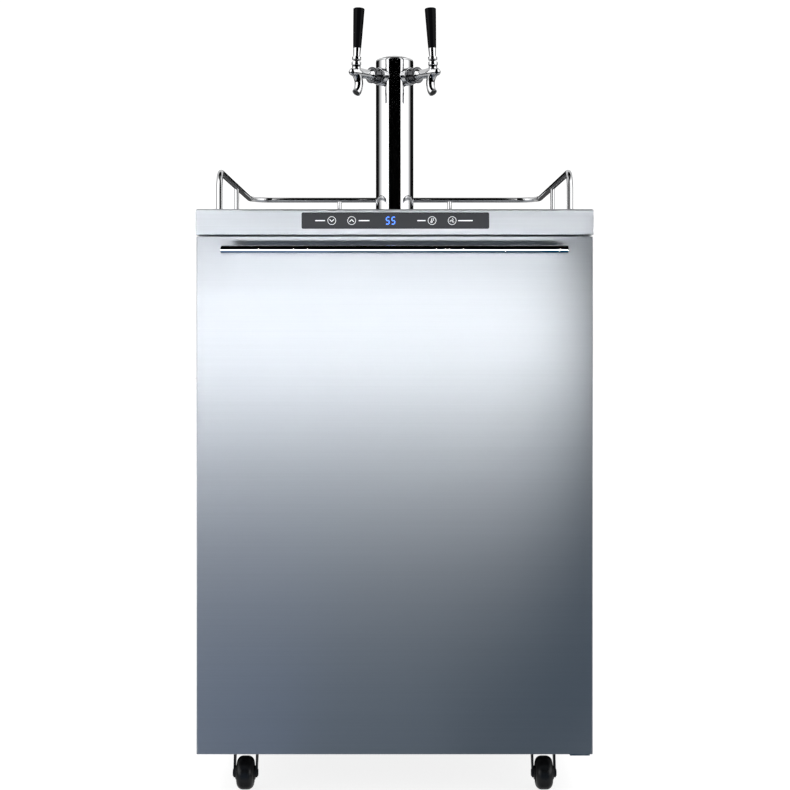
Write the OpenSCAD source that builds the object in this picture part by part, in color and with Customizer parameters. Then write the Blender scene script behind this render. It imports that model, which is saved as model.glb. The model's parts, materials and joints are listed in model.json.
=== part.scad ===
// Two-tap kegerator: an insulated cabinet on casters with a draft tower, a guard rail and a hinged door.
// Millimetres, +Z up, the front towards -Y.
// The origin is on the floor, below the middle of the whole object.

/* [Cabinet] */
// Width of the worktop
cabinet_w = 600; // [580:1:620]
// Depth of the worktop, front skirt to back skirt
cabinet_d = 600; // [595:1:605]
// Height of the worktop above the floor
worktop_h = 900; // [890:1:910]
// Height of the worktop's skirt
skirt_h = 38.5; // [36:0.5:42]
// Thickness of the worktop and skirt sheet
sheet_t = 1.2; // [1:0.1:1.5]
// Width of the cold compartment
cavity_w = 502; // [490:1:506]
// Radius of the keg space
keg_r = 210.5; // [206:0.5:211]

/* [Door] */
// Height of the door's lower edge above the floor
door_z0 = 77.5; // [77:0.5:80]
// Thickness of the door without its gasket
door_t = 50; // [46:1:50]
// Gap between the door and the skirt above it
door_gap = 3; // [2.5:0.5:4]
// Radius of the door's front corners
door_r = 5; // [3:0.5:7]
// Diameter of the handle bar
handle_dia = 12.7; // [10:0.1:14]
// Length of the handle bar
handle_len = 514.6; // [480:0.2:530]
// How far the handle reaches in front of the door
handle_reach = 51; // [45:1:55]

/* [Tower] */
// Diameter of the draft column
column_dia = 63.5; // [60:0.5:66]
// Height of the column's wall above the worktop
column_h = 271.4; // [260:0.2:280]
// Height of the tap's axis above the worktop
tap_h = 243; // [240:0.5:246]
// Angle between each tap and straight ahead
tap_angle = 45; // [40:1:50]
// Distance of the tap's lever from the column's axis
lever_u = 89.4; // [88:0.2:92]
// Swing of a tap's lever, closed to open
lever_swing = 26; // [15:1:26]

/* [Guard rail] */
// Diameter of the rail
rail_dia = 9.5; // [8:0.5:10]
// Height of the rail's axis above the worktop
rail_h = 61.5; // [55:0.5:70]
// Distance between the axes of the two side rails
rail_w = 538; // [520:1:545]
// Radius of the rail's bends in its front posts
rail_bend_r = 30; // [20:1:35]
// Radius of the rail's back corners in plan
rail_corner_r = 40; // [30:1:60]

/* [Casters] */
// Diameter of a caster's wheel
wheel_dia = 51.5; // [48:0.5:52]
// Width of a wheel's tread
tread_w = 27; // [24:0.5:28]
// Distance of the wheel's axle from the swivel axis
caster_trail = 18; // [14:1:20]

/* [Condenser] */
// How far the condenser stands out behind the cabinet
condenser_reach = 25; // [22:1:30]
// Number of passes of the condenser's tube
condenser_passes = 12; // [8:2:12]

/* [Hidden] */
$fn = 64;
far = 1000;
// Clearance between parts of different bodies, and radial play of a shaft in its bore
gap = 0.3;
play = 0.05;
// Radius of the beads at a pipe's bends, over the pipe's own
bead = 1.08;

// Front and back of the worktop
front_y = handle_reach - (handle_reach + cabinet_d + condenser_reach) / 2;
back_y = front_y + cabinet_d;
skirt_z = worktop_h - skirt_h;
under_z = worktop_h - sheet_t;

// Cabinet shell, base tray and cold compartment
gasket_t = 8;
shell_w = cabinet_w - 3;
shell_t = 1;
shell_y0 = front_y + door_t + gasket_t;
shell_y1 = back_y - 1.5;
shell_z0 = 95;
shell_z1 = worktop_h - 10;
tray_z = 75;
tray_t = 1.5;
liner_t = 2;
cavity_y1 = 266;
cavity_z0 = 127;
cavity_z1 = 836;
keg_y = shell_y0 + 211;
hump_y = 125;
hump_z = 314;
plant_y0 = 152;
plant_z1 = 285;
plant_wall = 25;

// Door
door_w = cabinet_w - 2;
door_z1 = skirt_z - door_gap;
door_back_y = front_y + door_t;
hinge_x = 281;
hinge_y = front_y + 25;
hinge_pin_r = 4;
hinge_bush_r = 7;
hinge_bush_h = 14;
handle_y = front_y - handle_reach + handle_dia / 2;
handle_z = 836.3;

// Tower and taps
column_r = column_dia / 2;
column_t = 2;
tower_y = -4;
flange_h = 3;
duct_r = 26;
tap_z = worktop_h + tap_h;
pivot_z = tap_z + 14;
lever_lean = -3.7;
nut_u0 = 40;
body_u0 = 50;
spout_bend_r = 24;

// Control panel
panel_w = 283;
panel_h = 24.6;
panel_t = 1;
panel_r = 2.3;
panel_x = 1.1;
panel_z = 882.4;
key_r = 6.4;
key_hole_r = 6.5;
key_x = [-94.8, -64.8, 56.4, 86.7];
display_x = -6.2;

// Casters: swivel axes
caster_x = 233;
caster_front_y = front_y + 103;
caster_rear_y = 260;
wheel_r = wheel_dia / 2;
yoke_top = 67.7;
axle_r = 4;

// Gas cylinder and regulator
cylinder_x = -180;
cylinder_y = 195.5;
cylinder_r = 66.5;
cylinder_top = 669;
outlet_z = 710;
regulator_x = -100;
regulator_r = 22;

// Circulation fan
fan_x = 70;
fan_z = 785;
fan_size = 80;

// Drip tray
tray_x = 140;
tray_y0 = -190;
tray_y1 = -60;
tray_depth = 14;

// Block between two corners
module box(x0, x1, y0, y1, z0, z1) {
  translate([x0, y0, z0]) cube([x1 - x0, y1 - y0, z1 - z0]);
}

// Rectangle with round corners, centred
module round_rect(w, d, r) {
  square([w - 2 * r, d], center = true);
  square([w, d - 2 * r], center = true);
  for (sx = [-1, 1], sy = [-1, 1]) translate([sx * (w / 2 - r), sy * (d / 2 - r)]) circle(r);
}

// Points of an arc
function arc(cx, cy, r, a0, a1, n) =
  [for (i = [0:n]) let(a = a0 + (a1 - a0) * i / n) [cx + r * cos(a), cy + r * sin(a)]];

// Cylinder from a point, along X, Y or Z
module rod_x(p, r, len) { translate(p) rotate([0, 90, 0]) cylinder(r = r, h = len); }
module rod_y(p, r, len) { translate(p) rotate([-90, 0, 0]) cylinder(r = r, h = len); }
module rod_z(p, r, len) { translate(p) cylinder(r = r, h = len); }

// Pipe through a list of points, with round beads at its bends
module pipe(points, r) {
  for (i = [0:len(points) - 2]) {
    v = points[i + 1] - points[i];
    translate(points[i])
      rotate([0, acos(v[2] / norm(v)), atan2(v[1], v[0])])
      cylinder(r = r, h = norm(v));
  }
  for (i = [1:len(points) - 2]) translate(points[i]) sphere(r * bead);
}

// Children in a tap's own frame: +X away from the column, +Z up, at the column's axis
module at_tap(side) {
  translate([0, tower_y, 0]) rotate([0, 0, -90 + side * tap_angle]) children();
}

// Space of the cold compartment, grown by g, with a step for the machinery behind the keg
module cavity(g, y0) {
  difference() {
    box(-cavity_w / 2 - g, cavity_w / 2 + g, y0, cavity_y1 + g, cavity_z0 - g, cavity_z1 + g);
    difference() {
      box(-far, far, hump_y + g, far, 0, hump_z - g);
      rod_z([0, keg_y, -1], keg_r + g, far);
    }
  }
}

// ---- Cabinet ----

module cabinet_shell() {
  t = shell_t;
  plant_x = 280;
  color("silver") difference() {
    box(-shell_w / 2, shell_w / 2, shell_y0, shell_y1, shell_z0, shell_z1);
    box(-shell_w / 2 + t, shell_w / 2 - t, shell_y0 + t, shell_y1 - t, 0, far);
    box(-cavity_w / 2, cavity_w / 2, shell_y0 - t, shell_y0 + 2 * t, cavity_z0, cavity_z1);
    box(-plant_x, plant_x, shell_y1 - 2 * t, shell_y1 + t, 0, plant_z1 + 5);
  }
}

// Compartment for the compressor, kept clear of the keg space
module plant_space() {
  difference() {
    box(-275, 285, plant_y0, far, 0, plant_z1);
    rod_z([0, keg_y, -1], keg_r + plant_wall, far);
  }
}

module cabinet_foam() {
  margin = 1.5;
  color("khaki") difference() {
    box(-shell_w / 2 + margin, shell_w / 2 - margin, shell_y0 + margin, shell_y1 - margin,
        tray_z + tray_t, under_z);
    cavity(liner_t, shell_y0);
    plant_space();
    rod_z([0, tower_y, cavity_z1], duct_r, far);
    box(-tray_x, tray_x, tray_y0, tray_y1, worktop_h - tray_depth - 2, far);
  }
}

module inner_liner() {
  color("white") difference() {
    cavity(liner_t, shell_y0 + shell_t);
    cavity(0, shell_y0 - 1);
    rod_z([0, tower_y, cavity_z1 - 1], duct_r, far);
  }
}

module worktop() {
  t = sheet_t;
  r = 3;
  inner_w = cabinet_w - 2 * t;
  color("silver") difference() {
    intersection() {
      // cross profile with round upper edges, and the same profile from the side
      translate([0, back_y + 1, 0]) rotate([90, 0, 0]) linear_extrude(cabinet_d + 2) {
        translate([-cabinet_w / 2, skirt_z]) square([cabinet_w, skirt_h - r]);
        translate([-cabinet_w / 2 + r, skirt_z]) square([cabinet_w - 2 * r, skirt_h]);
        for (s = [-1, 1]) translate([s * (cabinet_w / 2 - r), worktop_h - r]) circle(r);
      }
      translate([-cabinet_w / 2 - 1, 0, 0]) rotate([90, 0, 90]) linear_extrude(cabinet_w + 2) {
        translate([front_y, skirt_z]) square([cabinet_d, skirt_h - r]);
        translate([front_y + r, skirt_z]) square([cabinet_d - 2 * r, skirt_h]);
        for (y = [front_y + r, back_y - r]) translate([y, worktop_h - r]) circle(r);
      }
    }
    // hollow behind the front box, open below
    box(-inner_w / 2, inner_w / 2, shell_y0 - gap, back_y - t, skirt_z - 1, under_z);
    // front box for the controls, closed below
    box(-inner_w / 2, inner_w / 2, front_y + t, shell_y0, skirt_z + t, under_z);
    rod_z([0, tower_y, skirt_z], duct_r, far);
    box(-tray_x + 3, tray_x - 3, tray_y0 + 3, tray_y1 - 3, skirt_z + t, far);
    rod_z([hinge_x, hinge_y, skirt_z - 1], hinge_pin_r + 0.5, 4);
    for (x = key_x) rod_y([x, front_y - 1, panel_z], key_hole_r + 0.5, 4);
    box(display_x - 12, display_x + 12, front_y - 1, front_y + 3, panel_z - 9, panel_z + 9);
  }
}

module control_overlay() {
  color("dimgray") difference() {
    translate([panel_x, front_y, panel_z]) rotate([90, 0, 0])
      linear_extrude(panel_t) round_rect(panel_w, panel_h, panel_r);
    for (x = key_x) rod_y([x, front_y - 3, panel_z], key_hole_r, 4);
    box(display_x - 10, display_x + 10, front_y - 3, front_y + 1, panel_z - 8, panel_z + 8);
  }
}

// Circuit board with its switches and the digit display
module control_board() {
  board_y = front_y + 9.5;
  color("darkgreen") {
    box(-125, 125, board_y, board_y + 1.6, panel_z - 11, panel_z + 11);
    for (x = key_x) box(x - 3, x + 3, board_y - 2.5, board_y, panel_z - 3, panel_z + 3);
    box(display_x - 9.9, display_x + 9.9, front_y - panel_t, board_y, panel_z - 7.9, panel_z + 7.9);
    box(90, 110, board_y + 1.6, board_y + 11, panel_z - 6, panel_z + 6);
  }
}

// Round key, flush with the overlay, with a stem that reaches its switch
module key_at(i) {
  color("dimgray") {
    rod_y([key_x[i], front_y - panel_t, panel_z], key_r, 1.6);
    rod_y([key_x[i], front_y + 0.6, panel_z], 4, 5.4);
  }
}
module down_key() { key_at(0); }
module up_key() { key_at(1); }
module temperature_key() { key_at(2); }
module fan_key() { key_at(3); }

module base_tray() {
  t = tray_t;
  color([0.12, 0.12, 0.13]) difference() {
    box(-shell_w / 2, shell_w / 2, shell_y0, shell_y1, tray_z, shell_z0);
    box(-shell_w / 2 + t, shell_w / 2 - t, shell_y0 + t, shell_y1 - t, tray_z + t, far);
    box(-280, 280, shell_y1 - 3 * t, shell_y1 + t, tray_z + t, far);
  }
}

// Louvred cover of the compressor space
module rear_panel() {
  half_w = 288;
  color([0.6, 0.62, 0.64]) difference() {
    box(-half_w, half_w, shell_y1, shell_y1 + 1, shell_z0 + 2, plant_z1 + 15);
    for (x = [-240:80:240], z = [120:14:218])
      box(x - 30, x + 30, shell_y1 - 1, shell_y1 + 2, z, z + 5);
    for (x = [-262, 215]) rod_y([x, shell_y1 - 1, 270], 5, 3);
    box(-236, -204, shell_y1 - 1, shell_y1 + 2, 250, 276);
  }
}

module power_inlet() {
  color([0.1, 0.1, 0.1]) difference() {
    union() {
      box(-236, -204, shell_y1 - 22, shell_y1 + 1, 250, 276);
      box(-241, -199, shell_y1 + 1, shell_y1 + 3, 245, 281);
    }
    box(-232, -208, shell_y1 - 15, shell_y1 + 4, 254, 272);
    for (x = [-227, -213]) box(x - 1, x + 1, shell_y1 - 18, shell_y1 - 10, 259, 263);
  }
}

module compressor() {
  cx = 170;
  cy = 240;
  r = 62;
  foot_z = tray_z + tray_t;
  mount_h = 10.5;
  z0 = foot_z + mount_h + 3;
  color([0.08, 0.08, 0.09]) {
    translate([cx, cy, 0]) rotate_extrude() polygon(concat(
      [[0, z0]], arc(r - 22, z0 + 22, 22, -90, 0, 10),
      arc(r - 30, z0 + 125, 30, 0, 90, 12), [[0, z0 + 155]]));
    box(cx - r - 24, cx - r + 14, cy - 20, cy + 20, z0 + 50, z0 + 105);
    difference() {
      box(cx - 74, cx + 74, cy - 40, cy + 40, foot_z + mount_h, z0);
      for (sx = [-1, 1], sy = [-1, 1]) rod_z([cx + sx * 63, cy + sy * 29, foot_z], 4, 20);
    }
    // rubber mounts under the base plate
    for (sx = [-1, 1], sy = [-1, 1]) difference() {
      rod_z([cx + sx * 63, cy + sy * 29, foot_z], 10, mount_h);
      rod_z([cx + sx * 63, cy + sy * 29, foot_z - 1], 4, 20);
    }
  }
}

// Serpentine tube behind the cabinet, held by two upright channels
module condenser_coil() {
  r = 2.5;
  y = back_y + condenser_reach - r * bead;
  half = 230;
  z0 = 360;
  pitch = 40;
  top_z = z0 + (condenser_passes - 1) * pitch;
  color([0.1, 0.1, 0.11]) {
    for (i = [0:condenser_passes - 1]) rod_x([-half, y, z0 + i * pitch], r, 2 * half);
    for (i = [0:condenser_passes - 2]) {
      side = i % 2 == 0 ? -1 : 1;
      translate([side * half, y, z0 + (i + 0.5) * pitch]) rotate([90, 0, 0])
        rotate([0, 0, side > 0 ? -90 : 90]) rotate_extrude(angle = 180) translate([pitch / 2, 0]) circle(r);
    }
    // inlet and outlet lead down to the machinery
    pipe([
      [half, y, z0], [half + 25, y, z0], [half + 25, y, 270],
      [215, y, 270], [215, shell_y1 - 8, 270]
    ], r);
    pipe([[half, y, top_z], [half + 32, y, top_z], [half + 32, y, top_z + 20], [-262, y, top_z + 20],
          [-262, y, 270], [-262, shell_y1 - 8, 270]], r);
    for (x = [-200, 200]) difference() {
      box(x - 6, x + 6, shell_y1, y + r, z0 - 15, top_z + 5);
      box(x - 4.5, x + 4.5, shell_y1 + 1.5, y + r + 1, z0 - 16, top_z + 6);
      for (i = [0:condenser_passes - 1]) rod_x([x - 7, y, z0 + i * pitch], r, 14);
    }
  }
}

// Discharge and suction pipes, and the filter drier
module refrigerant_lines() {
  y = shell_y1 - 8;
  color([0.72, 0.45, 0.3]) {
    pipe([[215, y, 270], [215, 296, 270], [215, 290, 262], [215, 275, 250], [200, 262, 225]], 2.5);
    pipe([[-262, y, 270], [-262, 296, 270], [-262, 292, 200], [-200, 290, 180], [-150, 290, 180]], 2);
    rod_x([-150, 290, 180], 9, 70);
    pipe([[-80, 290, 180], [-40, 288, 180], [-40, 280, plant_z1 - 0.5]], 1.2);
    pipe([[128, 275, 150], [110, 292, 150], [60, 292, 160], [20, 290, 200], [20, 285, plant_z1 - 0.5]], 3);
  }
}

module evaporator_plate() {
  x0 = -95;
  x1 = 235;
  z0 = 420;
  z1 = 720;
  y = 256;
  color([0.75, 0.77, 0.8]) {
    difference() {
      union() {
        box(x0, x1, y, y + 1.5, z0, z1);
        for (i = [0:6]) rod_x([x0 + 25, y + 0.5, z0 + 30 + i * 40], 3.5, x1 - x0 - 50);
        for (i = [0:5]) rod_z([i % 2 == 0 ? x0 + 25 : x1 - 25, y + 0.5, z0 + 30 + i * 40], 3.4, 40);
      }
      box(-far, far, y + 1.5, y + 10, 0, far);
    }
    for (x = [x0 + 15, x1 - 15], z = [z0 + 12, z1 - 12]) rod_y([x, y + 1.5, z], 5, cavity_y1 - y - 1.5);
  }
}

module fan_housing() {
  depth = 25;
  y0 = cavity_y1 - depth;
  color([0.13, 0.13, 0.14]) {
    difference() {
      translate([fan_x, cavity_y1, fan_z]) rotate([90, 0, 0])
        linear_extrude(depth) round_rect(fan_size, fan_size, 5);
      rod_y([fan_x, y0 - 1, fan_z], fan_size / 2 - 3, depth + 2);
      for (sx = [-1, 1], sz = [-1, 1])
        rod_y([fan_x + sx * 35.5, y0 - 1, fan_z + sz * 35.5], 2, depth + 2);
    }
    for (a = [45:90:315]) translate([fan_x, cavity_y1, fan_z]) rotate([0, a, 0])
      box(10, 38, -4, 0, -1.5, 1.5);
    rod_y([fan_x, cavity_y1 - 6, fan_z], 16, 6);
    rod_y([fan_x, y0 + 3, fan_z], 2, depth - 6);
  }
}

module fan_impeller() {
  blades = 7;
  color([0.2, 0.2, 0.22]) translate([fan_x, cavity_y1 - 22, fan_z]) rotate([-90, 0, 0]) difference() {
    union() {
      cylinder(r = 16, h = 14);
      for (i = [0:blades - 1]) rotate([0, 0, i * 360 / blades]) translate([15, 0, 7])
        rotate([42, 0, 0]) box(-1, 19, -8, 8, -0.8, 0.8);
    }
    translate([0, 0, -1]) cylinder(r = 2 + play, h = 20);
  }
}

module keg_floor_plate() {
  color("silver") rod_z([0, keg_y, cavity_z0], keg_r - 5.5, 2);
}

module interior_light() {
  color("white") {
    difference() {
      box(-150, -90, -130, -90, cavity_z1 - 8, cavity_z1);
      box(-148.5, -91.5, -128.5, -91.5, cavity_z1 - 6.5, cavity_z1 + 1);
    }
    box(-140, -100, -120, -100, cavity_z1 - 1.6, cavity_z1);
  }
}

// ---- Guard rail ----

// Side rail: front post, bend, straight run and back corner
module side_rail(side) {
  r = rail_dia / 2;
  x = side * rail_w / 2;
  post_y = front_y + 40;
  back_rail_y = front_y + 562;
  z = worktop_h + rail_h;
  rod_z([x, post_y, worktop_h], r, rail_h - rail_bend_r);
  translate([x, post_y + rail_bend_r, z - rail_bend_r]) rotate([90, 0, 90])
    rotate([0, 0, 90]) rotate_extrude(angle = 90) translate([rail_bend_r, 0]) circle(r);
  rod_y([x, post_y + rail_bend_r, z], r, back_rail_y - rail_corner_r - post_y - rail_bend_r);
  translate([x - side * rail_corner_r, back_rail_y - rail_corner_r, z])
    rotate([0, 0, side > 0 ? 0 : 90]) rotate_extrude(angle = 90) translate([rail_corner_r, 0]) circle(r);
}

module guard_rail() {
  r = rail_dia / 2;
  post_r = 4;
  z = worktop_h + rail_h;
  back_rail_y = front_y + 562;
  foot_h = 3;
  mid_y = front_y + 298.6;
  posts = [[-rail_w / 2, mid_y], [rail_w / 2, mid_y], [-103, back_rail_y], [103, back_rail_y]];
  color("silver") {
    for (s = [-1, 1]) side_rail(s);
    rod_x([-rail_w / 2 + rail_corner_r, back_rail_y, z], r, rail_w - 2 * rail_corner_r);
    for (p = posts) difference() {
      rod_z([p[0], p[1], worktop_h], post_r, rail_h);
      rod_x([p[0] - 10, p[1], z], p[1] > 200 ? r : 0.01, 20);
      rod_y([p[0], p[1] - 10, z], p[1] > 200 ? 0.01 : r, 20);
    }
    // collars where the posts meet the worktop
    for (p = posts) difference() {
      rod_z([p[0], p[1], worktop_h], 7, foot_h);
      rod_z([p[0], p[1], worktop_h - 1], post_r, foot_h + 2);
    }
    for (s = [-1, 1]) difference() {
      rod_z([s * rail_w / 2, front_y + 40, worktop_h], 7.5, foot_h);
      rod_z([s * rail_w / 2, front_y + 40, worktop_h - 1], r, foot_h + 2);
    }
  }
}

// ---- Draft tower ----

module tower_column() {
  color("silver") difference() {
    rod_z([0, tower_y, worktop_h + flange_h], column_r, column_h - flange_h);
    rod_z([0, tower_y, worktop_h], column_r - column_t, column_h + 1);
    for (s = [-1, 1]) at_tap(s) rod_x([10, 0, tap_z], 11.2, 40);
  }
}

module tower_cap() {
  dome = 9.6;
  edge = 4;
  z = worktop_h + column_h;
  crown_r = ((column_r - edge) * (column_r - edge) + (dome - edge) * (dome - edge)) / (2 * (dome - edge));
  half = asin((column_r - edge) / crown_r);
  color("silver") translate([0, tower_y, z]) rotate_extrude() polygon(concat(
    [[0, -8], [column_r - column_t - 0.05, -8], [column_r - column_t - 0.05, 0]],
    arc(column_r - edge, 0, edge, 0, 90 - half, 6),
    arc(0, dome - crown_r, crown_r, 90 - half, 90, 10)));
}

module tower_flange() {
  color("silver") {
    difference() {
      rod_z([0, tower_y, worktop_h], 50, flange_h);
      rod_z([0, tower_y, worktop_h - 1], duct_r, flange_h + 2);
      for (a = [45:90:315]) rod_z([41 * cos(a), tower_y + 41 * sin(a), worktop_h - 1], 2.2, 8);
    }
    for (a = [45:90:315]) translate([41 * cos(a), tower_y + 41 * sin(a), worktop_h + flange_h]) {
      cylinder(r = 4, h = 2);
      translate([0, 0, -flange_h]) cylinder(r = 2.2, h = flange_h);
    }
  }
}

// Duct for the beer lines, and the foam sleeve inside the column
module tower_duct() {
  color([0.2, 0.2, 0.2]) {
    difference() {
      rod_z([0, tower_y, cavity_z1 - 2], duct_r, worktop_h + flange_h - cavity_z1 + 2);
      rod_z([0, tower_y, cavity_z1 - 3], duct_r - 2, far);
    }
    difference() {
      rod_z([0, tower_y, worktop_h + flange_h], column_r - column_t, 215);
      rod_z([0, tower_y, worktop_h], 19, 230);
    }
  }
}

module shank_collars() {
  color("silver") for (s = [-1, 1]) at_tap(s) difference() {
    rod_x([25, 0, tap_z], 15, nut_u0 - 25);
    rod_x([20, 0, tap_z], 11, 30);
    rod_z([0, 0, tap_z - 30], column_r, 60);
  }
}

// Threaded shanks with their inside nuts and hose tails
module faucet_shanks() {
  color("silver") for (s = [-1, 1]) at_tap(s) {
    difference() {
      rod_x([14, 0, tap_z], 11, body_u0 - 14);
      rod_x([13, 0, tap_z], 3.5, 40);
    }
    difference() {
      translate([23, 0, tap_z]) rotate([0, 90, 0]) cylinder(r = 14, h = 3, $fn = 6);
      rod_x([22, 0, tap_z], 11, 5);
    }
    difference() {
      union() {
        rod_x([8, 0, tap_z], 4, 6);
        rod_z([9, 0, tap_z - 28], 3, 28);
        for (i = [0:3]) translate([9, 0, tap_z - 27 + i * 4]) cylinder(r1 = 3.2, r2 = 4, h = 3);
      }
      rod_z([9, 0, tap_z - 29], 2, 29);
    }
  }
}

module coupling_nuts() {
  color("silver") for (s = [-1, 1]) at_tap(s) difference() {
    rod_x([nut_u0, 0, tap_z], 14, 16);
    rod_x([nut_u0 - 1, 0, tap_z], 11, 12);
    rod_x([body_u0, 0, tap_z], 12.6, 3);
    rod_x([body_u0, 0, tap_z], 10.3, 10);
    for (a = [0:60:300]) translate([0, 0, tap_z]) rotate([a, 0, 0])
      box(nut_u0 + 4, nut_u0 + 12, -2, 2, 13, 16);
  }
}

// Tap body: inlet cone, nose, bonnet and bent spout, with the lever's slot
module faucet_body() {
  nose_u = lever_u + 14.6;
  nose_r = 6.4;
  u1 = lever_u - 5.8 + spout_bend_r;
  spout_z = tap_z - 17.5;
  difference() {
    union() {
      translate([0, 0, tap_z]) rotate([0, 90, 0]) rotate_extrude() polygon(concat(
        [[0, body_u0], [12.5, body_u0], [12.5, body_u0 + 3], [10.2, body_u0 + 3], [10.2, body_u0 + 7],
         [8.6, body_u0 + 9], [7.6, body_u0 + 16], [8.2, lever_u - 10], [8.8, lever_u - 2]],
        [for (p = arc(nose_u - nose_r, 0, nose_r, 75, 0, 9)) [p[1], p[0]]]));
      rod_z([lever_u, 0, tap_z], 7.6, 5.5);
      rod_z([lever_u, 0, tap_z + 5.4], 7, 6.8);
      rod_z([lever_u, 0, tap_z + 12], 8, 5.7);
      // spout: an arc towards the column and forward again
      translate([u1, 0, spout_z]) rotate([90, 0, 0]) rotate([0, 0, 138])
        rotate_extrude(angle = 84) translate([spout_bend_r, 0]) circle(6);
    }
    rod_x([body_u0 - 1, 0, tap_z], 5, lever_u + 8 - body_u0);
    rod_z([lever_u, 0, tap_z + 9], 5.6, 20);
    box(lever_u - 8.2, lever_u + 4.5, -2.6, 2.6, tap_z, tap_z + 10);
    translate([u1, 0, spout_z]) rotate([90, 0, 0]) rotate([0, 0, 137])
      rotate_extrude(angle = 86) translate([spout_bend_r, 0]) circle(4);
  }
}
module left_faucet_body() { color("silver") at_tap(-1) faucet_body(); }
module right_faucet_body() { color("silver") at_tap(1) faucet_body(); }

// Children in a lever's frame: the ball's centre, leaning back against its stop
module at_lever(side) {
  at_tap(side) translate([lever_u, 0, pivot_z]) rotate([0, lever_lean, 0]) children();
}

// Lever: ball on its pivot pin, finger that drives the plunger, stem, lock ring and ferrule
module lever() {
  pin_half = 5.2;
  sphere(5);
  rod_y([0, -pin_half, 0], 1.8, 2 * pin_half);
  rod_z([0, 0, -14.5], 2, 12);
  rod_z([0, 0, 3], 2.5, 5);
  translate([0, 0, 6.8]) rotate_extrude()
    polygon([[0, 0], [6.8, 0], [7.6, 0.8], [7.6, 4.4], [6.8, 5.2], [0, 5.2]]);
  translate([0, 0, 12]) cylinder(r1 = 5.6, r2 = 6.5, h = 14.3);
}
module left_lever() { color("silver") at_lever(-1) lever(); }
module right_lever() { color("silver") at_lever(1) lever(); }

module tap_handle() {
  z0 = 26.3;
  z1 = 93;
  top_r = 9.4;
  edge = 1.5;
  color([0.02, 0.02, 0.02]) rotate_extrude() polygon(concat(
    [[0, z0], [6.7, z0], [7.2, z0 + 6]],
    arc(top_r - edge, z1 - edge, edge, 0, 90, 6), [[0, z1]]));
}
module left_tap_handle() { at_lever(-1) tap_handle(); }
module right_tap_handle() { at_lever(1) tap_handle(); }

// Plunger: shaft with a slot for the lever's finger, and the valve head
module plunger() {
  slot = 7.6;
  slot_u = lever_u + 0.7;
  color([0.7, 0.7, 0.72]) difference() {
    union() {
      rod_x([lever_u - 26, 0, tap_z], 3.5, 31.5);
      rod_x([lever_u - 29, 0, tap_z], 4.6, 4);
    }
    box(slot_u - slot / 2, slot_u + slot / 2, -2.4, 2.4, tap_z - 3, tap_z + 5);
  }
}
module left_plunger() { at_tap(-1) plunger(); }
module right_plunger() { at_tap(1) plunger(); }

// ---- Door ----

// Plan of the door with round front corners, inset by i
module door_plan(i) {
  w = door_w / 2 - i;
  r = door_r - i;
  y0 = front_y + i;
  translate([-w, y0 + r]) square([2 * w, door_back_y - y0 - r]);
  translate([-w + r, y0]) square([2 * (w - r), r + 1]);
  for (s = [-1, 1]) translate([s * (w - r), y0 + r]) circle(r);
}

module door_skin() {
  t = shell_t;
  color("silver") difference() {
    translate([0, 0, door_z0]) linear_extrude(door_z1 - door_z0) door_plan(0);
    translate([0, 0, door_z0 + t]) linear_extrude(door_z1 - door_z0 - 2 * t) door_plan(t);
    box(-door_w / 2 + t, door_w / 2 - t, door_back_y - 2, door_back_y + 1, door_z0 + t, door_z1 - t);
    rod_z([hinge_x, hinge_y, 0], hinge_bush_r, far);
  }
}

// Door panel's raised inner field, grown by g
module dike(y0, g) {
  box(-236 - g, 236 + g, y0, door_back_y + 5 + g, 130 - g, 828 + g);
}

module door_foam() {
  t = shell_t;
  color("khaki") difference() {
    union() {
      intersection() {
        translate([0, 0, door_z0 + t]) linear_extrude(door_z1 - door_z0 - 2 * t) door_plan(t);
        box(-far, far, -far, door_back_y - 1.5, 0, far);
      }
      dike(door_back_y - 2, -1.5);
    }
    rod_z([hinge_x, hinge_y, 0], hinge_bush_r, door_z0 + hinge_bush_h);
    rod_z([hinge_x, hinge_y, door_z1 - hinge_bush_h], hinge_bush_r, far);
  }
}

// Inner door panel, and the two bushes that run on the hinge pins
module door_liner() {
  t = shell_t;
  color("white") {
    difference() {
      union() {
        box(-door_w / 2 + t, door_w / 2 - t, door_back_y - 1.5, door_back_y, door_z0 + t, door_z1 - t);
        dike(door_back_y - 1, 0);
      }
      dike(door_back_y - 3, -1.5);
    }
    for (z = [door_z0, door_z1 - hinge_bush_h]) difference() {
      rod_z([hinge_x, hinge_y, z], hinge_bush_r, hinge_bush_h);
      rod_z([hinge_x, hinge_y, z - 1], hinge_pin_r + play, hinge_bush_h + 2);
    }
  }
}

module door_gasket() {
  w = 12;
  half = 275;
  z0 = 102;
  z1 = 855;
  y1 = shell_y0 - gap;
  color([0.16, 0.16, 0.17]) difference() {
    box(-half, half, door_back_y, y1, z0, z1);
    box(-half + w, half - w, door_back_y - 1, y1 + 1, z0 + w, z1 - w);
    // magnet channel's waist on the outside
    for (s = [-1, 1]) box(s * half - 2, s * half + 2, door_back_y + 2, door_back_y + 4.5, 0, far);
  }
}

// Bar with two posts that carry it in front of the door
module door_handle() {
  r = handle_dia / 2;
  half = handle_len / 2;
  edge = 1.5;
  color("silver") {
    translate([-half, handle_y, handle_z]) rotate([0, 90, 0]) rotate_extrude() polygon(concat(
      [[0, 0]], arc(r - edge, edge, edge, -90, 0, 5),
      arc(r - edge, handle_len - edge, edge, 0, 90, 5), [[0, handle_len]]));
    for (s = [-1, 1]) difference() {
      rod_y([s * (half - 22), handle_y, handle_z], 5, front_y - handle_y);
      rod_x([s * (half - 22) - 20, handle_y, handle_z], r, 40);
    }
  }
}

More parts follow.
